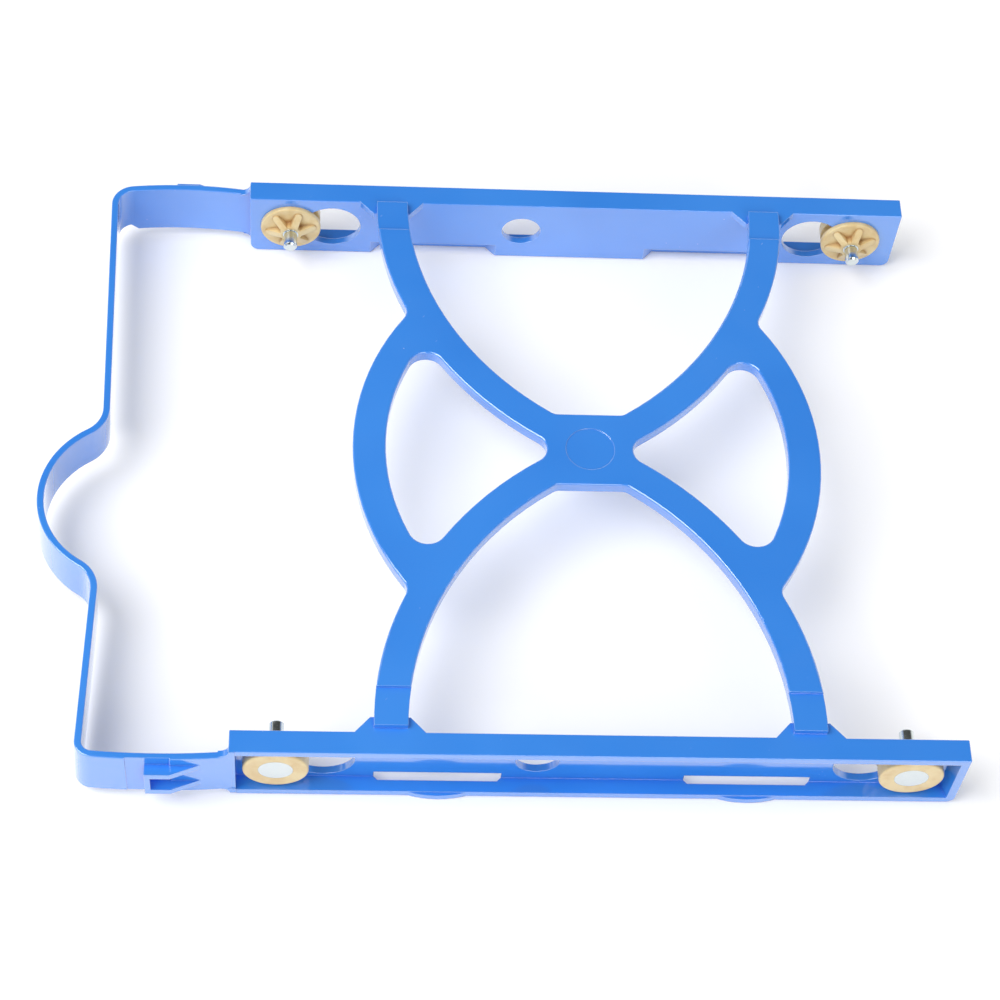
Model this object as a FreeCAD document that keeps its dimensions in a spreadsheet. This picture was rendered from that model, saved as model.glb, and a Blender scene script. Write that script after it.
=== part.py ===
import FreeCAD, Part
import math
import os
import re

import Sketcher
from FreeCAD import Placement, Rotation, Vector

# Hot swap drive caddy. +X points into the bay, the strap handle is at -X, +Y is the left rail,
# and Z = 0 is the underside of the rails. The origin is the centre of the outline on that plane.

SIZES = (
    ("bayCentre", 16.2, "X of the middle of the four drive holes"),
    ("driveHolePitch", 101.6, "along a rail, from stud to stud"),
    ("driveHoleHeight", 7.3, "studs above the underside"),
    # rails
    ("railFront", -41.85, "X of the rails' handle end"),
    ("railRear", 75.3, "X of the rails' bay end"),
    ("railHeight", 14.5, ""),
    ("webInner", 52.85, "Y of the web face towards the drive, which only the grommets touch"),
    ("webThickness", 1.25, ""),
    ("railOuter", 56.75, "Y of the flange edges"),
    ("topFlange", 1.4, "thickness"),
    ("bottomFlange", 1.5, "thickness"),
    ("frontWall", 0.95, "end wall of the channel"),
    ("rearWallRoot", 2.4, "end wall at the web"),
    ("rearWallEdge", 1.45, "end wall at the flange edge"),
    ("railCorner", 1.5, "radius of the lower end corners"),
    ("railEdge", 0.2, "radius of the other edges"),
    # holes in the webs
    ("middleHoleRadius", 3.5, ""),
    ("middleHoleX", -9.3, "from bayCentre"),
    ("middleHoleHeight", 7.4, ""),
    ("keyholeRadius", 5.1, "wide end, where a grommet goes in"),
    ("keyholeX", 43.4, "wide end, from bayCentre"),
    ("seatRadius", 4.1, "narrow end, where the grommet sits"),
    # spring leaves in the bottom flanges
    ("leafX", 25.0, "middle of a leaf, from bayCentre"),
    ("leafInner", 54.75, "Y of a leaf's free edge"),
    ("slotHalfInner", 11.4, "half length of the slot at the web's inner face"),
    ("slotHalfLeaf", 9.6, "half length of the slot at the leaf"),
    ("slotTop", 3.05, "height of the slot in the web"),
    ("bumpRadius", 17.5, "bow on a leaf's outer edge"),
    ("bumpProud", 0.6, ""),
    ("bumpHeight", 1.2, ""),
    # brace across the top, an arc-sided lens with two windows and two arches
    ("braceOffset", 0.38, "middle of the legs and arches, from bayCentre"),
    ("braceBottom", 14.0, ""),
    ("braceTop", 16.2, ""),
    ("padTop", 15.6, "top of the foot pads"),
    ("padStart", 45.6, "Y where a foot pad starts"),
    ("footEnd", 52.2, "Y where a foot ends"),
    ("sideCentre", 5.75, "centre of a side arc, from bayCentre"),
    ("sideRadius", 45.15, ""),
    ("windowRadius", 39.6, "outer edge of a window, concentric with the side"),
    ("legCentreX", 17.0, "outer edge of a leg"),
    ("legCentreY", 51.0, ""),
    ("legRadius", 52.9, ""),
    ("archCentreX", 23.95, "arch between two legs"),
    ("archCentreY", 52.7, ""),
    ("archRadius", 54.47, ""),
    ("armRadius", 59.97, "inner edge of a window, concentric with the arch"),
    ("waistHalf", 7.07, "half width of the middle of the brace"),
    ("windowTipRound", 2.75, ""),
    ("windowCornerRound", 3.2, ""),
    ("waistRound", 2.0, ""),
    ("notchRound", 2.4, ""),
    ("braceEdge", 0.35, "radius of the top edges"),
    ("markRadius", 4.1, "shallow gate mark in the middle"),
    ("markDepth", 0.1, ""),
    ("gussetX", 33.3, "from the middle of the brace"),
    ("gussetReach", 2.55, "inwards from the web"),
    ("gussetHalfRoot", 5.9, ""),
    ("gussetHalfTip", 3.2, ""),
    # strap handle
    ("strapThickness", 1.15, ""),
    ("strapTop", 12.8, ""),
    ("strapHeight", 11.0, ""),
    ("strapLean", 0.5, "how far the lower edge stands forward of the upper"),
    ("strapEdge", 0.2, "radius of its edges"),
    ("armCentreX", 69.5, "where the side arms bow out most, forward of bayCentre"),
    ("leftArmOuter", 57.05, "Y of the outer face where an arm bows out most"),
    ("rightArmOuter", 57.35, ""),
    ("leftArmBow", 78.0, "outer radius of an arm"),
    ("rightArmBow", 130.0, ""),
    ("leftCorner", 4.0, "outer radius of the front's left corner"),
    ("rightCorner", 2.8, ""),
    ("frontLeft", 82.4, "outer face of the front at its left corner, forward of bayCentre"),
    ("frontRight", 82.1, ""),
    ("frontAtBulge", 81.3, ""),
    ("bulgeX", 75.44, "centre of the finger bulge, forward of bayCentre"),
    ("bulgeY", -9.1, ""),
    ("bulgeRadius", 15.65, "outer radius"),
    ("blendRadius", 5.0, "outer radius beside the bulge"),
    ("frontBottom", 3.2, "lower edge of the front, left of the bulge"),
    ("stepX", 79.6, "where the left arm's lower edge has risen to it, forward of bayCentre"),
    ("stepY", 11.5, "where the lower edge steps up to the bulge"),
    ("bulgeBottom", 4.6, "lower edge of the bulge at that step"),
    ("slantStart", -94.0, "Y where that edge, which slopes down to the right, would reach Z = 0"),
    ("flatFront", 74.2, "flat on the right arm beside the tooth, forward of bayCentre"),
    ("flatOuter", 57.1, "Y of that flat"),
    ("topFlare", 1.7, "radius where a strap arm meets the rail"),
    ("bottomFlare", 1.3, ""),
    # latch teeth on the strap
    ("toothFront", 71.2, "forward of bayCentre"),
    ("toothCrest", 67.2, "where the ramp starts"),
    ("toothRoot", 60.6, "where the ramp ends, inside the strap"),
    ("toothInner", 56.4, "Y inside the strap"),
    ("toothOuter", 59.0, "Y of the crest"),
    ("toothBottom", 4.1, ""),
    ("toothTop", 10.6, ""),
    ("toothWall", 0.9, "end wall of its pocket"),
    ("toothRib", 1.35, "ribs above and below its pocket"),
    ("pocketFloor", 57.0, "Y"),
    # grommets, sizes along the hole's axis measured outwards from the web's inner face
    ("grommetRadius", 5.35, "inner flange"),
    ("grommetInner", 0.8, "thickness of the inner flange"),
    ("grommetOuterRadius", 5.25, ""),
    ("grommetFace", 3.35, "outer face"),
    ("grommetEdge", 0.3, ""),
    ("ribTop", 2.15, "ribs of the inner face, at the hub"),
    ("ribReach", 4.6, "tip of a rib from the axis"),
    ("ribWidth", 1.3, ""),
    ("ribCount", 6, ""),
    ("hubRadius", 1.9, "where the ribs start to slope"),
    ("boreRadius", 1.4, "also the pin's shank, which fills the bore"),
    # pins
    ("pinRadius", 1.2, "stud, from the tips of the ribs on"),
    ("pinTip", 5.1, "stud past the web's inner face"),
    ("pinChamfer", 0.3, ""),
    ("headRadius", 2.75, ""),
    ("headThickness", 0.8, ""),
)

doc = FreeCAD.newDocument("DriveCaddy")
sheet = doc.addObject("Spreadsheet::Sheet", "Sizes")
for row, (alias, value, note) in enumerate(SIZES, start=1):
    sheet.set(f"A{row}", alias)
    sheet.set(f"B{row}", str(value))
    sheet.set(f"C{row}", note)
    sheet.setAlias(f"B{row}", alias)
doc.recompute()
aliases = {alias for alias, value, note in SIZES}


def size(alias):
    return float(sheet.get(alias))


def formula(text):
    def cell(word):
        return "Sizes." + word[0] if word[0] in aliases else word[0]
    return re.sub(r"[A-Za-z]\w*", cell, text)


def bind(item, **formulas):
    for path, text in formulas.items():
        item.setExpression(path.replace("_", "."), formula(text))
    return item


def block(name, x, y, z):
    item = doc.addObject("Part::Box", name)
    bind(item, Length=f"{x[1]} - ({x[0]})", Width=f"{y[1]} - ({y[0]})", Height=f"{z[1]} - ({z[0]})")
    return bind(item, Placement_Base_x=x[0], Placement_Base_y=y[0], Placement_Base_z=z[0])


def wedge(name, root, tip, y, z, turn=Rotation()):
    # root and tip are the spans along the wedge's own X at its lower and its higher Y
    item = doc.addObject("Part::Wedge", name)
    item.Placement = Placement(Vector(), turn)
    bind(item, Ymin=y[0], Ymax=y[1], Xmin=root[0], Xmax=root[1], X2min=tip[0], X2max=tip[1])
    return bind(item, Zmin=z[0], Zmax=z[1], Z2min=z[0], Z2max=z[1])


def disc(name, radius, x, y, z):
    item = doc.addObject("Part::Cylinder", name)
    bind(item, Radius=radius, Height=f"{z[1]} - ({z[0]})")
    return bind(item, Placement_Base_x=x, Placement_Base_y=y, Placement_Base_z=z[0])


def rod(name, radius, x, y, z):
    item = doc.addObject("Part::Cylinder", name)
    item.Placement = Placement(Vector(), Rotation(Vector(1, 0, 0), -90))
    bind(item, Radius=radius, Height=f"{y[1]} - ({y[0]})")
    return bind(item, Placement_Base_x=x, Placement_Base_y=y[0], Placement_Base_z=z)


def joined(name, *items):
    item = doc.addObject("Part::MultiFuse", name)
    item.Shapes = items
    return item


def shared(name, first, second):
    item = doc.addObject("Part::Common", name)
    item.Base = first
    item.Tool = second
    return item


def without(name, base, *tools):
    item = doc.addObject("Part::Cut", name)
    item.Base = base
    item.Tool = tools[0] if len(tools) == 1 else joined(name + "Tools", *tools)
    return item


def mirrored(name, source):
    # the same shape on the other side of the XZ plane
    item = doc.addObject("Part::Mirroring", name)
    item.Source = source
    item.Normal = Vector(0, 1, 0)
    return item


def filleted(name, base, radius_of):
    # radius_of takes an edge and gives its radius, or 0 to leave the edge alone
    doc.recompute()
    item = doc.addObject("Part::Fillet", name)
    item.Base = base
    radii = [radius_of(edge) for edge in base.Shape.Edges]
    item.Edges = [(number, r, r) for number, r in enumerate(radii, start=1) if r]
    return item


def runs_along(edge, axis):
    return edge.Length > 1e-6 and edge.Curve.TypeId == "Part::GeomLine" and \
        abs(abs(edge.Curve.Direction.dot(axis)) - 1) < 1e-6


def upright(edge):
    return runs_along(edge, Vector(0, 0, 1))


# ---- rails

def left_rail():
    bar = block("RailBar", ("railFront", "railRear"), ("webInner", "railOuter"), ("0", "railHeight"))

    def radius(edge):
        lower_corner = runs_along(edge, Vector(0, 1, 0)) and edge.CenterOfMass.z < 1
        return size("railCorner") if lower_corner else size("railEdge")

    rounded = filleted("RailRounded", bar, radius)
    channel = wedge("Channel", ("railFront + frontWall", "railRear - rearWallRoot"),
                    ("railFront + frontWall", "railRear - rearWallEdge"),
                    ("webInner + webThickness", "railOuter + 0.001"),
                    ("bottomFlange", "railHeight - topFlange"))
    through = ("webInner - 1", "webInner + webThickness + 1")
    holes = [rod("MiddleHole", "middleHoleRadius", "bayCentre + middleHoleX", through,
                 "middleHoleHeight")]
    leaves = []
    for end, sign in (("Front", "-"), ("Rear", "+")):
        seat_x = f"bayCentre {sign} driveHolePitch / 2"
        holes.append(rod(f"Seat{end}", "seatRadius", seat_x, through, "driveHoleHeight"))
        wide_x = f"bayCentre {sign} keyholeX"
        holes.append(rod(f"Keyhole{end}", "keyholeRadius", wide_x, through, "driveHoleHeight"))
        leaf_x = f"bayCentre {sign} leafX"
        holes.append(leaf_slot(end, leaf_x))
        leaves.append(leaf_bump(end, leaf_x))
    pierced = without("RailPierced", rounded, channel, *holes)
    return joined("LeftRail", pierced, *leaves, *gussets())


def leaf_slot(end, x):
    # a slot through the bottom flange and the foot of the web frees a strip of the flange
    overshoot = "(slotHalfInner - slotHalfLeaf) / (leafInner - webInner)"
    half = f"(slotHalfInner + {overshoot})"
    return wedge(f"Slot{end}", (f"{x} - {half}", f"{x} + {half}"),
                 (f"{x} - slotHalfLeaf", f"{x} + slotHalfLeaf"),
                 ("webInner - 1", "leafInner"), ("-1", "slotTop"))


def leaf_bump(end, x):
    bow = disc(f"Bow{end}", "bumpRadius", x, "railOuter + bumpProud - bumpRadius",
               ("0", "bumpHeight"))
    cover = block(f"BowCover{end}", (f"{x} - bumpRadius", f"{x} + bumpRadius"),
                  ("railOuter - railEdge", "railOuter + bumpProud"), ("0", "bumpHeight"))
    return shared(f"Bump{end}", bow, cover)


def gussets():
    found = []
    for end, sign in (("Front", "-"), ("Rear", "+")):
        x = f"bayCentre + braceOffset {sign} gussetX"
        found.append(wedge(f"Gusset{end}", (f"{x} - gussetHalfTip", f"{x} + gussetHalfTip"),
                           (f"{x} - gussetHalfRoot", f"{x} + gussetHalfRoot"),
                           ("webInner - gussetReach", "webInner + 0.4"),
                           ("railHeight - topFlange", "railHeight")))
    return found


# ---- brace

MIDDLE = "bayCentre + braceOffset"
PLATE = ("braceBottom", "braceTop")
FAR = 80


def brace_outline():
    lens = shared("Lens", disc("SideFront", "sideRadius", "bayCentre + sideCentre", "0", PLATE),
                  disc("SideRear", "sideRadius", "bayCentre - sideCentre", "0", PLATE))
    front = disc("LegFront", "legRadius", MIDDLE + " + legCentreX", "legCentreY", PLATE)
    rear = disc("LegRear", "legRadius", MIDDLE + " - legCentreX", "legCentreY", PLATE)
    reach = block("LegReach", (f"-{FAR}", f"{FAR}"), ("0", "footEnd"), PLATE)
    legs = shared("LegsLeft", shared("LegsRound", front, rear), reach)
    whole = joined("BraceOutline", lens, legs, mirrored("LegsRight", legs))

    def notch(edge):
        return size("notchRound") if upright(edge) and 20 < abs(edge.CenterOfMass.y) < 35 else 0

    return filleted("BraceNotched", whole, notch)


def arch():
    depth = ("braceBottom - 1", "braceTop + 1")
    front = disc("ArchFront", "archRadius", MIDDLE + " + archCentreX", "archCentreY", depth)
    rear = disc("ArchRear", "archRadius", MIDDLE + " - archCentreX", "archCentreY", depth)
    reach = block("ArchReach", (f"-{FAR}", f"{FAR}"), ("waistHalf", f"{FAR}"), depth)
    opening = shared("ArchSharp", shared("ArchRound", front, rear), reach)

    def waist(edge):
        return size("waistRound") if upright(edge) and edge.CenterOfMass.y < 10 else 0

    return filleted("ArchLeft", opening, waist)


def window(end, sign):
    # sign is that of the window's X from the middle
    depth = ("braceBottom - 1", "braceTop + 1")
    outer = disc("WindowSide" + end, "windowRadius", f"bayCentre - ({sign}sideCentre)", "0", depth)
    across = (MIDDLE, f"{MIDDLE} + {FAR}") if sign == "+" else (f"{MIDDLE} - {FAR}", MIDDLE)
    half = block("WindowHalf" + end, across, (f"-{FAR}", f"{FAR}"), depth)
    arms = [disc(f"Arm{end}{side}", "armRadius", f"{MIDDLE} - ({sign}archCentreX)",
                 turn + "archCentreY", depth)
            for side, turn in (("Left", ""), ("Right", "-"))]
    opening = without("WindowSharp" + end, shared("WindowDisc" + end, outer, half), *arms)

    def corner(edge):
        if not upright(edge):
            return 0
        return size("windowTipRound" if abs(edge.CenterOfMass.y) < 1 else "windowCornerRound")

    return filleted("Window" + end, opening, corner)


def brace():
    left_arch = arch()
    plate = without("BracePlate", brace_outline(), left_arch, mirrored("ArchRight", left_arch),
                    window("Front", "-"), window("Rear", "+"))

    def top_edge(edge):
        box = edge.BoundBox
        return size("braceEdge") if box.ZMin > size("braceTop") - 0.01 else 0

    rounded = filleted("BraceRounded", plate, top_edge)
    pads = []
    for side, near, far in (("Left", "padStart", f"{FAR}"), ("Right", f"-{FAR}", "-padStart")):
        pads.append(block("PadStep" + side, (f"-{FAR}", f"{FAR}"), (near, far),
                          ("padTop", "braceTop + 1")))
    mark = disc("GateMark", "markRadius", MIDDLE, "0", ("braceTop - markDepth", "braceTop + 1"))
    return without("Brace", rounded, *pads, mark)


# ---- sketches

def origin_plane(body, role):
    return next(item for item in body.Origin.OriginFeatures if item.Role == role)


def sketch_on(body, name, role):
    sketch = body.newObject("Sketcher::SketchObject", name)
    sketch.AttachmentSupport = [(origin_plane(body, role), "")]
    sketch.MapMode = "FlatFace"
    return sketch


def line(sketch, start, end):
    return sketch.addGeometry(Part.LineSegment(Vector(*start, 0), Vector(*end, 0)))


def arc(sketch, centre, radius, start, end):
    circle = Part.Circle(Vector(*centre, 0), Vector(0, 0, 1), radius)
    return sketch.addGeometry(Part.ArcOfCircle(circle, math.radians(start), math.radians(end)))


def dimension(sketch, kind, *where, text):
    value = float(sheet.evalExpression(text))
    number = sketch.addConstraint(Sketcher.Constraint(kind, *where, value))
    sketch.setExpression(f"Constraints[{number}]", formula(text))


def polygon(sketch, corners):
    # corners are pairs of formulas
    spots = [[float(sheet.evalExpression(text)) for text in corner] for corner in corners]
    sides = [line(sketch, spots[i - 1], spots[i]) for i in range(len(spots))]
    for i, (across, up) in enumerate(corners):
        after = sides[(i + 1) % len(sides)]
        sketch.addConstraint(Sketcher.Constraint("Coincident", sides[i], 2, after, 1))
        dimension(sketch, "DistanceX", sides[i], 2, text=across)
        dimension(sketch, "DistanceY", sides[i], 2, text=up)


# ---- strap handle

def strap_outline():
    # the outer face of the band, along its upper edge
    sketch = doc.addObject("Sketcher::SketchObject", "StrapOutline")
    bind(sketch, Placement_Base_z="strapTop")
    middle = size("bayCentre")
    bulge_x = middle - size("frontAtBulge")
    blend = size("blendRadius")
    hump_at = (middle - size("bulgeX"), size("bulgeY"))
    reach = size("bulgeRadius") + blend
    turn = math.degrees(math.acos((hump_at[0] - bulge_x + blend) / reach))
    spread = reach * math.sin(math.radians(turn))
    hump = arc(sketch, hump_at, size("bulgeRadius"), 180 - turn, 180 + turn)
    dimension(sketch, "Radius", hump, text="bulgeRadius")
    dimension(sketch, "DistanceX", hump, 3, text="bayCentre - bulgeX")
    dimension(sketch, "DistanceY", hump, 3, text="bulgeY")

    # an arc's ends are numbered 1 and 2 counter-clockwise, so the two sides swap them
    for side, name, first, second in ((-1, "right", 1, 2), (1, "left", 2, 1)):
        corner_x = middle - size(f"front{name.title()}")
        bend = size(name + "Corner")
        bow = size(name + "ArmBow")
        arm_y = f"{name}ArmOuter - {name}ArmBow"
        arm_at = (middle - size("armCentreX"), side * (size(name + "ArmOuter") - bow))
        # a first guess, 12 mm each way, before the constraints set the arm's ends
        along = math.degrees(math.asin(12 / bow))
        arm = arc(sketch, arm_at, bow, *sorted((side * (90 + along), side * (90 - along))))
        corner_y = side * (size("railOuter") - bend)
        corner = arc(sketch, (corner_x + bend, corner_y), bend,
                     *((96, 180) if side > 0 else (180, 264)))
        blend_y = hump_at[1] + side * spread
        front = line(sketch, (corner_x, corner_y), (bulge_x, blend_y))
        hollow = arc(sketch, (bulge_x - blend, blend_y), blend, *sorted((0, -side * turn)))
        sketch.addConstraint([
            Sketcher.Constraint("Tangent", arm, first, corner, second),
            Sketcher.Constraint("Tangent", corner, first, front, 1),
            Sketcher.Constraint("Tangent", front, 2, hollow, first),
            Sketcher.Constraint("Tangent", hollow, second, hump, second),
        ])
        dimension(sketch, "Radius", arm, text=name + "ArmBow")
        dimension(sketch, "Radius", corner, text=name + "Corner")
        dimension(sketch, "Radius", hollow, text="blendRadius")
        dimension(sketch, "DistanceX", arm, 3, text="bayCentre - armCentreX")
        dimension(sketch, "DistanceY", arm, 3, text=f"{side} * ({arm_y})")
        dimension(sketch, "DistanceX", arm, second, text="railFront + frontWall * 0.8")
        dimension(sketch, "DistanceX", front, 1, text=f"bayCentre - front{name.title()}")
        dimension(sketch, "DistanceX", front, 2, text="bayCentre - frontAtBulge")
    return sketch


def strap():
    plan = doc.addObject("Part::Offset2D", "StrapPlan")
    plan.Source = strap_outline()
    plan.Mode = "Skin"
    plan.Fill = True
    bind(plan, Value="-strapThickness")
    # drawn downwards and forwards, so that the front leans
    band = doc.addObject("Part::Extrusion", "StrapBand")
    band.Base = plan
    band.DirMode = "Custom"
    band.Solid = True
    bind(band, Dir_x="-strapLean", Dir_z="-strapHeight")

    def level_edge(edge):
        return size("strapEdge") if edge.BoundBox.ZLength < 0.01 else 0

    rounded = filleted("StrapRounded", band, level_edge)
    front_x = "bayCentre - stepX"
    front_relief = wedge("FrontRelief", (f"-{FAR}", f"{front_x} + frontBottom"),
                         (f"-{FAR}", front_x), ("0", "frontBottom"), (f"-{FAR}", "-stepY"),
                         Rotation(Vector(1, 0, 0), 90))
    bulge_relief = wedge("BulgeRelief", ("slantStart", "stepY"), ("stepY - 1", "stepY"),
                         ("0", "bulgeBottom"), (f"-{FAR}", front_x), Rotation(Vector(1, 1, 1), 120))
    flat = block("ArmFlat", ("bayCentre - flatFront", "bayCentre - toothCrest"),
                 (f"-{FAR}", "-flatOuter"), ("0", "railHeight"))
    return without("Strap", rounded, front_relief, bulge_relief, flat)


def latch_tooth():
    front = "bayCentre - toothFront"
    tooth = wedge("ToothRamp", (front, "bayCentre - toothRoot"), (front, "bayCentre - toothCrest"),
                  ("toothInner", "toothOuter"), ("toothBottom", "toothTop"))
    pocket = block("ToothPocket", (f"{front} + toothWall", "bayCentre - toothRoot + 1"),
                   ("pocketFloor", "toothOuter + 1"),
                   ("toothBottom + toothRib", "toothTop - toothRib"))
    return without("LatchTooth", tooth, pocket)


def flares(arm):
    # fillets above and below a strap arm, where it runs into the left rail's end
    found = []
    drop = f"{arm}ArmBow - sqrt({arm}ArmBow ^ 2 - (railFront - bayCentre + armCentreX) ^ 2)"
    across = (f"{arm}ArmOuter - ({drop}) - strapThickness", f"{arm}ArmOuter - ({drop})")
    for name, radius, edge, sign in (("Top", "topFlare", "strapTop", "+"),
                                     ("Bottom", "bottomFlare", "(strapTop - strapHeight)", "-")):
        name = arm.title() + name
        near = f"{edge} - ({sign}strapEdge)"
        far = f"{edge} {sign} {radius}"
        span = (near, far) if sign == "+" else (far, near)
        web = block(name + "Flare", (f"railFront - {radius}", "railFront + frontWall"), across, span)
        hollow = rod(name + "Hollow", radius, f"railFront - {radius}", ("webInner", "railOuter + 1"),
                     far)
        found.append(without(name + "Fillet", web, hollow))
    return found


def tray():
    side = joined("Side", left_rail(), latch_tooth())
    left = joined("LeftSide", side, *flares("left"))
    right = joined("RightSide", side, *flares("right"))
    whole = joined("TrayMoulding", left, mirrored("RightSideMirrored", right), brace(), strap())
    whole.Refine = True
    whole.Label = "tray"
    return whole


# ---- grommets and pins, each built on its own axis, +Z outwards from the web's inner face

def revolved(body, name, corners):
    sketch = sketch_on(body, name + "Outline", "XZ_Plane")
    polygon(sketch, corners)
    turned = body.newObject("PartDesign::Revolution", name + "Turned")
    turned.Profile = sketch
    turned.ReferenceAxis = (sketch, ["V_Axis"])
    turned.Angle = 360
    return turned


def rib_sketch(body, name):
    sketch = sketch_on(body, name + "RibPlan", "XY_Plane")
    inner = (size("boreRadius") + size("hubRadius")) / 2
    half = size("ribWidth") / 2
    outer = size("ribReach") - half
    tip = arc(sketch, (outer, 0), half, -90, 90)
    upper = line(sketch, (outer, half), (inner, half))
    root = line(sketch, (inner, half), (inner, -half))
    lower = line(sketch, (inner, -half), (outer, -half))
    sketch.addConstraint([
        Sketcher.Constraint("Tangent", tip, 2, upper, 1),
        Sketcher.Constraint("Coincident", upper, 2, root, 1),
        Sketcher.Constraint("Coincident", root, 2, lower, 1),
        Sketcher.Constraint("Tangent", lower, 2, tip, 1),
        Sketcher.Constraint("Horizontal", upper),
        Sketcher.Constraint("Vertical", root),
        Sketcher.Constraint("PointOnObject", tip, 3, -1),
    ])
    dimension(sketch, "Radius", tip, text="ribWidth / 2")
    dimension(sketch, "DistanceX", tip, 3, text="ribReach - ribWidth / 2")
    dimension(sketch, "DistanceX", root, 1, text="(boreRadius + hubRadius) / 2")
    return sketch


def grommet(name):
    body = doc.addObject("PartDesign::Body", name)
    revolved(body, name, (
        ("boreRadius", "-ribTop"), ("hubRadius", "-ribTop"), ("hubRadius", "-grommetInner"),
        ("grommetRadius", "-grommetInner"), ("grommetRadius", "0"), ("seatRadius", "0"),
        ("seatRadius", "webThickness"), ("grommetOuterRadius", "webThickness"),
        ("grommetOuterRadius", "grommetFace"), ("headRadius", "grommetFace"),
        ("headRadius", "grommetFace - headThickness"),
        ("boreRadius", "grommetFace - headThickness")))
    rib = body.newObject("PartDesign::Pad", name + "Rib")
    rib.Profile = rib_sketch(body, name)
    rib.Reversed = True
    rib.setExpression("Length", formula("ribTop"))
    ring = body.newObject("PartDesign::PolarPattern", name + "Ribs")
    ring.Originals = [rib]
    ring.Axis = (rib.Profile[0], ["N_Axis"])
    ring.Angle = 360
    ring.setExpression("Occurrences", formula("ribCount"))
    body.Tip = ring
    doc.recompute()
    before = body.Shape.Volume
    slope = sketch_on(body, name + "SlopeOutline", "XZ_Plane")
    polygon(slope, (("hubRadius", "-ribTop"), ("ribReach + ribWidth / 4", "-ribTop"),
                    ("ribReach + ribWidth / 4", "-grommetInner - 0.1")))
    trim = body.newObject("PartDesign::Groove", name + "Slope")
    trim.Profile = slope
    trim.ReferenceAxis = (slope, ["V_Axis"])
    trim.Angle = 360
    doc.recompute()
    assert body.Shape.Volume < before - 1, name + ": the ribs are not sloped"
    rims = [f"Edge{i}" for i, edge in enumerate(trim.Shape.Edges, start=1) if is_rim(edge)]
    rounded = body.newObject("PartDesign::Fillet", name + "Rims")
    rounded.Base = (trim, rims)
    rounded.setExpression("Radius", formula("grommetEdge"))
    return body


def is_rim(edge):
    faces_out = abs(edge.CenterOfMass.z - size("grommetFace")) < 1e-6
    faces_in = abs(edge.CenterOfMass.z + size("grommetInner")) < 1e-6
    wide = edge.Curve.TypeId == "Part::GeomCircle" and edge.Curve.Radius > size("ribReach")
    return wide and (faces_out or faces_in)


def pin(name):
    body = doc.addObject("PartDesign::Body", name)
    shoulder = "grommetFace - headThickness"
    revolved(body, name, (
        ("0", "-pinTip"), ("pinRadius - pinChamfer", "-pinTip"),
        ("pinRadius", "-pinTip + pinChamfer"), ("pinRadius", "-ribTop"), ("boreRadius", "-ribTop"),
        ("boreRadius", shoulder), ("headRadius", shoulder), ("headRadius", "grommetFace"),
        ("0", "grommetFace")))
    return body


def fitted(body, end, side, twist):
    # end is -1 at the handle and +1 in the bay, side is +1 on the left
    turn = Rotation(Vector(1, 0, 0), -90 * side) * Rotation(Vector(0, 0, 1), twist)
    body.Placement = Placement(Vector(), turn)
    bind(body, Placement_Base_x=f"bayCentre + {end} * driveHolePitch / 2",
         Placement_Base_y=f"{side} * webInner", Placement_Base_z="driveHoleHeight")
    return body


nodes = [tray()]
for end_name, end, twists in (("front", -1, (50, 22)), ("rear", 1, (44, 5))):
    for side_name, side, twist in (("left", 1, twists[0]), ("right", -1, twists[1])):
        spot = f"{end_name}_{side_name}"
        nodes.append(fitted(grommet("grommet_" + spot), end, side, twist))
        nodes.append(fitted(pin("pin_" + spot), end, side, 0))
doc.recompute()

for item in doc.Objects:
    assert not {"Invalid", "Error"} & set(item.State), f"{item.Name}: {item.State}"
for node in nodes:
    assert not node.Shape.isNull() and node.Shape.isValid(), node.Label
    assert len(node.Shape.Solids) == 1, f"{node.Label}: {len(node.Shape.Solids)} solids"

os.makedirs("parts", exist_ok=True)
for node in nodes:
    node.Shape.exportStep(f"parts/{node.Label}.step")
    box = node.Shape.BoundBox
    print(f"{node.Label}: {box.XLength:.2f} x {box.YLength:.2f} x {box.ZLength:.2f} mm, "
          f"{node.Shape.Volume:.0f} mm3")
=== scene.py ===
import math

import bpy
from mathutils import Matrix, Vector


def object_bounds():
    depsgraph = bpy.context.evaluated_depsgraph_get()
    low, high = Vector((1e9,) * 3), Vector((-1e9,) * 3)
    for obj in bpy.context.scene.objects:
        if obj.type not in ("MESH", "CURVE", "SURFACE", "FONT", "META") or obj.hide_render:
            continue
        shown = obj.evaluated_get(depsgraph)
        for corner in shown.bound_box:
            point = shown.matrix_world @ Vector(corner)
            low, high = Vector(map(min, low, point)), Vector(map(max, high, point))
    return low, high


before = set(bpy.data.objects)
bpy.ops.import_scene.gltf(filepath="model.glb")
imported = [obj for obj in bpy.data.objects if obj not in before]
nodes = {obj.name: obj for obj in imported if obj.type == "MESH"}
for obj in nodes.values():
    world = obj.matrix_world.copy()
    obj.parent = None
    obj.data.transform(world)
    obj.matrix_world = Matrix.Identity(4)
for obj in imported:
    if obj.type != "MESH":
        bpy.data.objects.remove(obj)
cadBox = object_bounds()
millimetre = 0.001


def linearColour(hexText):
    # an sRGB hex value, such as 398CEA, as the linear colour that shaders take
    parts = [int(hexText[i:i + 2], 16) / 255 for i in (0, 2, 4)]
    return tuple(c / 12.92 if c <= 0.04045 else ((c + 0.055) / 1.055) ** 2.4 for c in parts) + (1,)


def perMetre(size):
    # a texture's scale for features of this size in mm
    return 1 / (size * millimetre)


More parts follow.
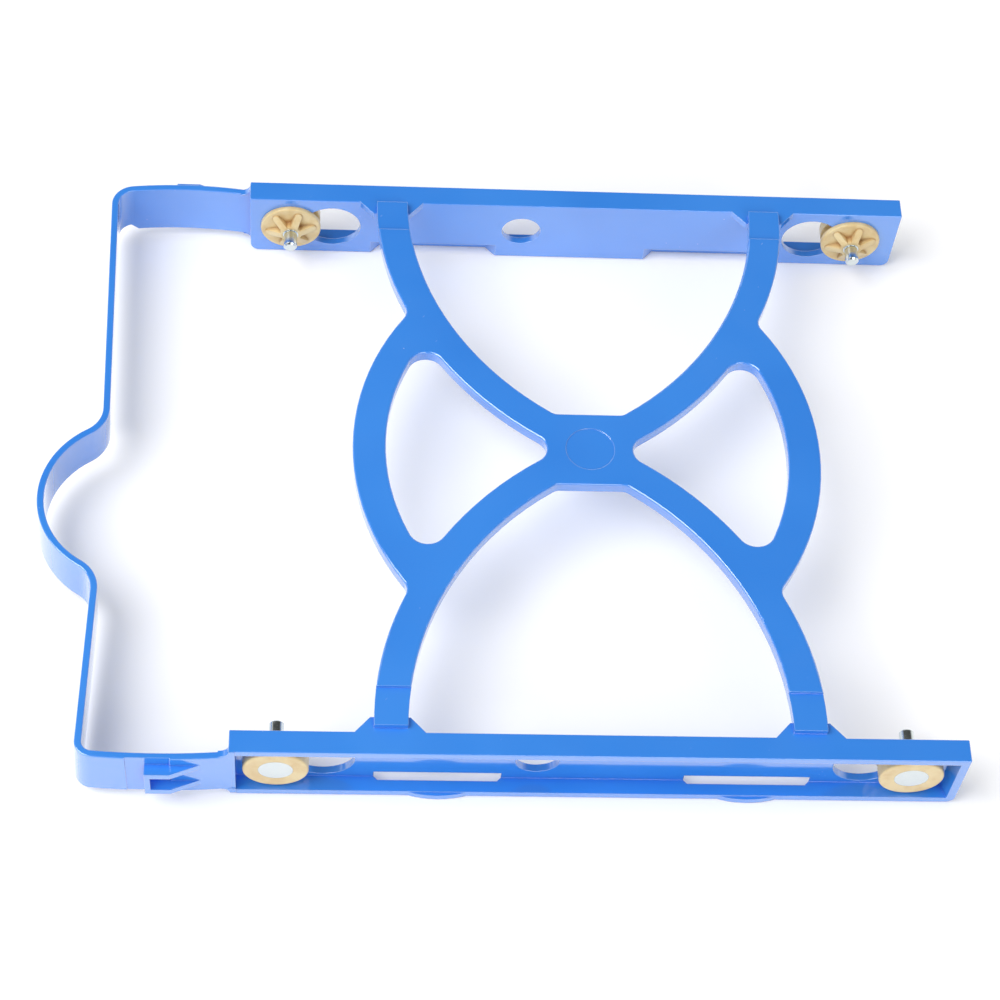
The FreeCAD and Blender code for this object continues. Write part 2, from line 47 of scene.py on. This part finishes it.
def addNode(tree, kind, settings=None, *inOrder, **byName):
    # settings are the node's own. Its inputs are given in order or by name, as in Base_Color,
    # and each is a node, a socket or a value
    node = tree.nodes.new(kind)
    for key, value in (settings or {}).items():
        setattr(node, key, value)
    free = [socket for socket in node.inputs if socket.enabled]
    wanted = list(zip(free, inOrder))
    for key, value in byName.items():
        label = key.replace("_", " ").lower()
        wanted.append((next(s for s in free if s.name.lower() == label), value))
    for socket, value in wanted:
        if isinstance(value, bpy.types.Node):
            value = next(s for s in value.outputs if s.enabled)
        if isinstance(value, bpy.types.NodeSocket):
            tree.links.new(value, socket)
        else:
            socket.default_value = value
    return node


def newMaterial(name):
    material = bpy.data.materials.new(name)
    material.use_nodes = True
    material.node_tree.nodes.clear()
    return material, material.node_tree


# Polypropylene, injection-moulded in a polished tool. The eye sees a clean saturated blue that pales
# where it is looked at along its surface, thin bright edges that are a painted highlight with a
# little wear, pockets in a deeper blue that is painted shade, and a few fine pale scuffs.
mouldedPolypropylene = {
    "colour": "398CEA",
    "flowColour": "2F84E4",
    "flowLength": 26,             # mm, patches where the melt cooled a little differently
    "flowRange": (0.35, 0.65),    # of the noise, from the one colour to the other
    "pocketShadeColour": "1C56EC",       # painted shade in pockets, a deeper blue
    "pocketDepth": 2.5,           # mm
    "pocketRange": (0.25, 0.65),  # of openness, from full painted shade to none
    "pocketShadeShare": 0.8,
    # painted highlight along outer edges, with a share of faint edge wear
    "edgeHighlightColour": "86B6F7",
    "edgeRadius": 0.2,            # mm
    "edgeHighlightShare": 0.7,
    "ridgeRange": (0.99, 0.85),   # of the cosine between the flat and the rounded normal
    "proudRange": (0.75, 0.95),   # of openness, which keeps inner corners plain
    "scuffColour": "A9C9F8",
    "scuffSpacing": 1.6,          # mm
    "scuffRadius": 0.13,          # mm, half its width, coarser than real so that it shows
    "scuffStretch": 7,            # length over width
    "scuffTurn": (0.4, 0.3, 0.9),
    "scuffShare": 0.6,
    "speckSpacing": 2.4,          # mm
    "speckRadius": 0.15,          # mm
    "speckShare": 0.5,
    "hazeSize": 7,                # mm, patches rubbed a little duller, which hold the scuffs
    "wornRange": (0.54, 0.64),    # of the haze, from clean to scuffed
    "dullRange": (0.4, 0.7),      # of the haze, from the one roughness to the other
    "roughness": 0.13,
    "hazeRoughness": 0.2,
    "waveLength": 0.9,            # mm, of the moulded skin
    "waveHeight": 0.04,           # mm
    "waveStrength": 0.06,
    "ior": 1.55,
    "coatIor": 1.85,              # above the plastic's own, so that upright faces pale enough
    "coatRoughness": 0.06,
}


def makeMouldedPolypropylene():
    p = mouldedPolypropylene
    material, tree = newMaterial("mouldedPolypropylene")
    place = addNode(tree, "ShaderNodeTexCoord").outputs["Object"]

    flow = addNode(tree, "ShaderNodeTexNoise", None, Vector=place, Detail=2.0,
                   Scale=perMetre(p["flowLength"]))
    flowShare = addNode(tree, "ShaderNodeMapRange", None, flow, *p["flowRange"], 0.0, 1.0)
    # painted shade: where ambient occlusion finds a pocket, the blue is mixed towards a deeper blue
    openness = addNode(tree, "ShaderNodeAmbientOcclusion", {"samples": 6, "only_local": True},
                       Distance=p["pocketDepth"] * millimetre).outputs["AO"]
    pocketShadeShare = addNode(tree, "ShaderNodeMapRange", None, openness, *p["pocketRange"],
                        p["pocketShadeShare"], 0.0)
    face = addNode(tree, "ShaderNodeMix", {"data_type": "RGBA"}, flowShare,
                   linearColour(p["colour"]), linearColour(p["flowColour"]))
    body = addNode(tree, "ShaderNodeMix", {"data_type": "RGBA"}, pocketShadeShare, face,
                   linearColour(p["pocketShadeColour"]))

    # a few worn patches hold short straight scuffs, which are stretched cells, and round specks
    haze = addNode(tree, "ShaderNodeTexNoise", None, Vector=place, Detail=3.0,
                   Scale=perMetre(p["hazeSize"]))
    worn = addNode(tree, "ShaderNodeMapRange", None, haze, *p["wornRange"], 0.0, 1.0)
    turnedPlace = addNode(tree, "ShaderNodeMapping", {"vector_type": "TEXTURE"}, Vector=place,
                          Rotation=p["scuffTurn"], Scale=(p["scuffStretch"], 1, 1))
    strokes = addNode(tree, "ShaderNodeTexVoronoi", None, Vector=turnedPlace,
                      Scale=perMetre(p["scuffSpacing"]))
    strokeEdge = p["scuffRadius"] / p["scuffSpacing"]
    stroke = addNode(tree, "ShaderNodeMapRange", None, strokes.outputs["Distance"], 0.0,
                     strokeEdge, p["scuffShare"], 0.0)
    scuff = addNode(tree, "ShaderNodeMath", {"operation": "MULTIPLY"}, stroke, worn)
    grit = addNode(tree, "ShaderNodeTexVoronoi", None, Vector=place,
                   Scale=perMetre(p["speckSpacing"]))
    speckEdge = p["speckRadius"] / p["speckSpacing"]
    speck = addNode(tree, "ShaderNodeMapRange", None, grit.outputs["Distance"], speckEdge / 2,
                    speckEdge, p["speckShare"], 0.0)
    keptSpeck = addNode(tree, "ShaderNodeMath", {"operation": "MULTIPLY"}, speck, worn)
    marks = addNode(tree, "ShaderNodeMath", {"operation": "MAXIMUM"}, scuff, keptSpeck)
    marked = addNode(tree, "ShaderNodeMix", {"data_type": "RGBA"}, marks, body,
                     linearColour(p["scuffColour"]))

    # a painted highlight, with a share of faint wear, on outer edges: an outer edge is where the
    # rounded normal leaves the flat one, away from inner corners
    rounded = addNode(tree, "ShaderNodeBevel", {"samples": 6}, Radius=p["edgeRadius"] * millimetre)
    flat = addNode(tree, "ShaderNodeNewGeometry").outputs["Normal"]
    turned = addNode(tree, "ShaderNodeVectorMath", {"operation": "DOT_PRODUCT"}, rounded, flat)
    ridge = addNode(tree, "ShaderNodeMapRange", None, turned.outputs["Value"], *p["ridgeRange"],
                    0.0, p["edgeHighlightShare"])
    proud = addNode(tree, "ShaderNodeMapRange", None, openness, *p["proudRange"], 0.0, 1.0)
    edgeHighlight = addNode(tree, "ShaderNodeMath", {"operation": "MULTIPLY"}, ridge, proud)
    edged = addNode(tree, "ShaderNodeMix", {"data_type": "RGBA"}, edgeHighlight, marked,
                    linearColour(p["edgeHighlightColour"]))

    gloss = addNode(tree, "ShaderNodeMapRange", None, haze, *p["dullRange"], p["roughness"],
                    p["hazeRoughness"])
    wave = addNode(tree, "ShaderNodeTexNoise", None, Vector=place, Detail=2.0,
                   Scale=perMetre(p["waveLength"]))
    skin = addNode(tree, "ShaderNodeBump", None, Strength=p["waveStrength"],
                   Distance=p["waveHeight"] * millimetre, Height=wave, Normal=rounded)
    shader = addNode(tree, "ShaderNodeBsdfPrincipled", None, Base_Color=edged, Roughness=gloss,
                     IOR=p["ior"], Specular_IOR_Level=1.0, Normal=skin, Coat_Weight=1.0,
                     Coat_Roughness=p["coatRoughness"], Coat_IOR=p["coatIor"],
                     Coat_Normal=rounded)
    addNode(tree, "ShaderNodeOutputMaterial", None, Surface=shader)
    return material


# Silicone rubber, moulded and satin. The eye sees an even tan; the darker, warmer creases between
# the ribs are painted shade.
siliconeRubber = {
    "colour": "E2CC99",
    "cloudColour": "D6B981",
    "cloudSize": 2.5,             # mm
    "cloudRange": (0.4, 0.65),    # of the noise, from the one colour to the other
    # painted shade in the creases between the ribs
    "creaseShadeColour": "A8733A",
    "creaseDepth": 1.1,           # mm
    "creaseRange": (0.35, 0.85),  # of openness, from full painted shade to none
    "creaseShadeShare": 0.85,
    "grainSize": 0.45,            # mm
    "grainHeight": 0.06,          # mm
    "grainStrength": 0.1,
    "edgeRadius": 0.25,           # mm
    "roughness": 0.3,
    "ior": 1.43,
    "specularLevel": 0.6,
    "coat": 0.35,                 # the shine of a new moulding
    "coatRoughness": 0.15,
}


def makeSiliconeRubber():
    p = siliconeRubber
    material, tree = newMaterial("mouldedSiliconeRubber")
    place = addNode(tree, "ShaderNodeTexCoord").outputs["Object"]
    cloud = addNode(tree, "ShaderNodeTexNoise", None, Vector=place, Detail=3.0,
                    Scale=perMetre(p["cloudSize"]))
    cloudShare = addNode(tree, "ShaderNodeMapRange", None, cloud, *p["cloudRange"], 0.0, 1.0)
    body = addNode(tree, "ShaderNodeMix", {"data_type": "RGBA"}, cloudShare,
                   linearColour(p["colour"]), linearColour(p["cloudColour"]))
    # painted shade: where ambient occlusion finds a crease, the tan is mixed towards a darker, warmer
    # brown
    openness = addNode(tree, "ShaderNodeAmbientOcclusion", {"samples": 8, "only_local": True},
                       Distance=p["creaseDepth"] * millimetre).outputs["AO"]
    creaseShade = addNode(tree, "ShaderNodeMapRange", None, openness, *p["creaseRange"],
                     p["creaseShadeShare"], 0.0)
    shaded = addNode(tree, "ShaderNodeMix", {"data_type": "RGBA"}, creaseShade, body,
                     linearColour(p["creaseShadeColour"]))
    rounded = addNode(tree, "ShaderNodeBevel", {"samples": 6}, Radius=p["edgeRadius"] * millimetre)
    grain = addNode(tree, "ShaderNodeTexNoise", None, Vector=place, Detail=3.0,
                    Scale=perMetre(p["grainSize"]))
    skin = addNode(tree, "ShaderNodeBump", None, Strength=p["grainStrength"],
                   Distance=p["grainHeight"] * millimetre, Height=grain, Normal=rounded)
    shader = addNode(tree, "ShaderNodeBsdfPrincipled", None, Base_Color=shaded,
                     Roughness=p["roughness"], IOR=p["ior"],
                     Specular_IOR_Level=p["specularLevel"], Normal=skin, Coat_Weight=p["coat"],
                     Coat_Roughness=p["coatRoughness"])
    addNode(tree, "ShaderNodeOutputMaterial", None, Surface=shader)
    return material


# Turned steel with bright nickel plating. The eye sees a mirror of the pale floor, softened a little
# by fine rings.
nickelPlatedSteel = {
    "colour": "D9E0DF",
    "roughness": 0.14,
    "dullRoughness": 0.24,
    "dullSize": 1,                # mm, patches of the plating
    "dullRange": (0.4, 0.65),     # of the noise, from the one roughness to the other
    "ringPitch": 0.14,            # mm between turning marks, coarser than real so that they show
    "ringDrift": 0.05,            # a mark's change across the pin, as a share of that along it
    "ringHeight": 0.02,           # mm
    "ringStrength": 0.12,
    "edgeRadius": 0.07,           # mm
}


def makeNickelPlatedSteel():
    p = nickelPlatedSteel
    material, tree = newMaterial("nickelPlatedSteel")
    place = addNode(tree, "ShaderNodeTexCoord").outputs["Object"]
    along = addNode(tree, "ShaderNodeMapping", None, Vector=place,
                    Scale=(p["ringDrift"], 1, p["ringDrift"]))
    rings = addNode(tree, "ShaderNodeTexNoise", None, Vector=along, Detail=2.0,
                    Scale=perMetre(p["ringPitch"]))
    dull = addNode(tree, "ShaderNodeTexNoise", None, Vector=place, Detail=3.0,
                   Scale=perMetre(p["dullSize"]))
    gloss = addNode(tree, "ShaderNodeMapRange", None, dull, *p["dullRange"], p["roughness"],
                    p["dullRoughness"])
    rounded = addNode(tree, "ShaderNodeBevel", {"samples": 6}, Radius=p["edgeRadius"] * millimetre)
    skin = addNode(tree, "ShaderNodeBump", None, Strength=p["ringStrength"],
                   Distance=p["ringHeight"] * millimetre, Height=rings, Normal=rounded)
    shader = addNode(tree, "ShaderNodeBsdfPrincipled", None, Base_Color=linearColour(p["colour"]),
                     Metallic=1.0, Roughness=gloss, Normal=skin)
    addNode(tree, "ShaderNodeOutputMaterial", None, Surface=shader)
    return material


print("finishes")
finishes = {"tray": makeMouldedPolypropylene(), "grommet": makeSiliconeRubber(),
            "pin": makeNickelPlatedSteel()}
for name, piece in nodes.items():
    for slot in piece.material_slots:
        slot.material = finishes[name.split("_")[0]]

studio = {
    "floorSize": 3.0,             # m
    "floorGap": 0.1,              # mm under the object
    "floorColour": "F4F4F5",
    "whiteLift": 0.1,             # seen by the eye and in gloss on top of the lit paper, to whiten it
    "skyLight": 0.55,             # what lights the object
    "skyDark": 0.07,              # what gloss sees overhead
    "horizon": 0.12,              # top of the white sweep in gloss, as the height of a unit direction
    "ceiling": 0.6,               # where the dark overhead is reached, likewise
}


def makeFloor():
    half = studio["floorSize"] / 2
    mesh = bpy.data.meshes.new("studioFloor")
    mesh.from_pydata([(-half, -half, 0), (half, -half, 0), (half, half, 0), (-half, half, 0)], [],
                     [(0, 1, 2, 3)])
    floor = bpy.data.objects.new("studioFloor", mesh)
    bpy.context.scene.collection.objects.link(floor)
    floor.location.z = cadBox[0][2] - studio["floorGap"] * millimetre
    material, tree = newMaterial("paperSweep")
    paper = addNode(tree, "ShaderNodeBsdfDiffuse", None, Color=linearColour(studio["floorColour"]))
    path = addNode(tree, "ShaderNodeLightPath")
    seen = addNode(tree, "ShaderNodeMath", {"operation": "MAXIMUM"}, path.outputs["Is Camera Ray"],
                   path.outputs["Is Glossy Ray"])
    seenThrough = addNode(tree, "ShaderNodeMath", {"operation": "MAXIMUM"}, seen,
                          path.outputs["Is Transmission Ray"])
    strength = addNode(tree, "ShaderNodeMath", {"operation": "MULTIPLY"}, seenThrough,
                       studio["whiteLift"])
    lift = addNode(tree, "ShaderNodeEmission", None, Color=(1, 1, 1, 1), Strength=strength)
    both = addNode(tree, "ShaderNodeAddShader", None, paper, lift)
    addNode(tree, "ShaderNodeOutputMaterial", None, Surface=both)
    mesh.materials.append(material)


def makeWorld():
    world = bpy.data.worlds.new("studioWorld")
    bpy.context.scene.world = world
    world.use_nodes = True
    tree = world.node_tree
    tree.nodes.clear()
    path = addNode(tree, "ShaderNodeLightPath")
    direction = addNode(tree, "ShaderNodeTexCoord").outputs["Generated"]
    height = addNode(tree, "ShaderNodeSeparateXYZ", None, direction).outputs["Z"]
    mirrored = addNode(tree, "ShaderNodeMapRange", {"interpolation_type": "SMOOTHSTEP"}, height,
                       studio["horizon"], studio["ceiling"], 1.0, studio["skyDark"])
    glossy = addNode(tree, "ShaderNodeMix", {"data_type": "FLOAT"}, path.outputs["Is Glossy Ray"],
                     studio["skyLight"], mirrored)
    seen = addNode(tree, "ShaderNodeMath", {"operation": "MAXIMUM"}, path.outputs["Is Camera Ray"],
                   path.outputs["Is Transmission Ray"])
    strength = addNode(tree, "ShaderNodeMix", {"data_type": "FLOAT"}, seen, glossy, 1.0)
    sky = addNode(tree, "ShaderNodeBackground", None, Color=(1, 1, 1, 1), Strength=strength)
    addNode(tree, "ShaderNodeOutputWorld", None, Surface=sky)


softboxes = {                     # place and size in m, power in W, all aimed at the origin
    "keySoftbox": ((-0.55, -0.20, 0.80), (0.7, 0.7), 7.6),
    "fillSoftbox": ((0.35, -0.80, 0.50), (0.6, 0.4), 2.2),
}


def makeLamps():
    for name, (place, size, power) in softboxes.items():
        data = bpy.data.lights.new(name, "AREA")
        data.shape = "RECTANGLE"
        data.size, data.size_y = size
        data.energy = power
        lamp = bpy.data.objects.new(name, data)
        bpy.context.scene.collection.objects.link(lamp)
        lamp.location = place
        lamp.rotation_euler = (-Vector(place)).to_track_quat("-Z", "Y").to_euler()


print("floor, world and lamps")
makeFloor()
makeWorld()
makeLamps()

viewpoint = {
    "place": (-0.02872, -0.24522, 0.38388),   # m
    "target": (0.00252, -0.00017, 0.0),       # m
    "roll": 7.26,                 # degrees, right side up
    "lens": 95.4,                 # mm
    "sensor": 36,                 # mm wide
}


def makeCamera():
    data = bpy.data.cameras.new("productCamera")
    data.lens = viewpoint["lens"]
    data.sensor_width = viewpoint["sensor"]
    camera = bpy.data.objects.new("productCamera", data)
    bpy.context.scene.collection.objects.link(camera)
    aim = (Vector(viewpoint["target"]) - Vector(viewpoint["place"])).to_track_quat("-Z", "Y")
    turn = aim.to_matrix().to_4x4() @ Matrix.Rotation(math.radians(viewpoint["roll"]), 4, "Z")
    camera.matrix_world = Matrix.Translation(viewpoint["place"]) @ turn
    bpy.context.scene.camera = camera


print("camera")
makeCamera()
bpy.context.scene.view_settings.view_transform = "Standard"
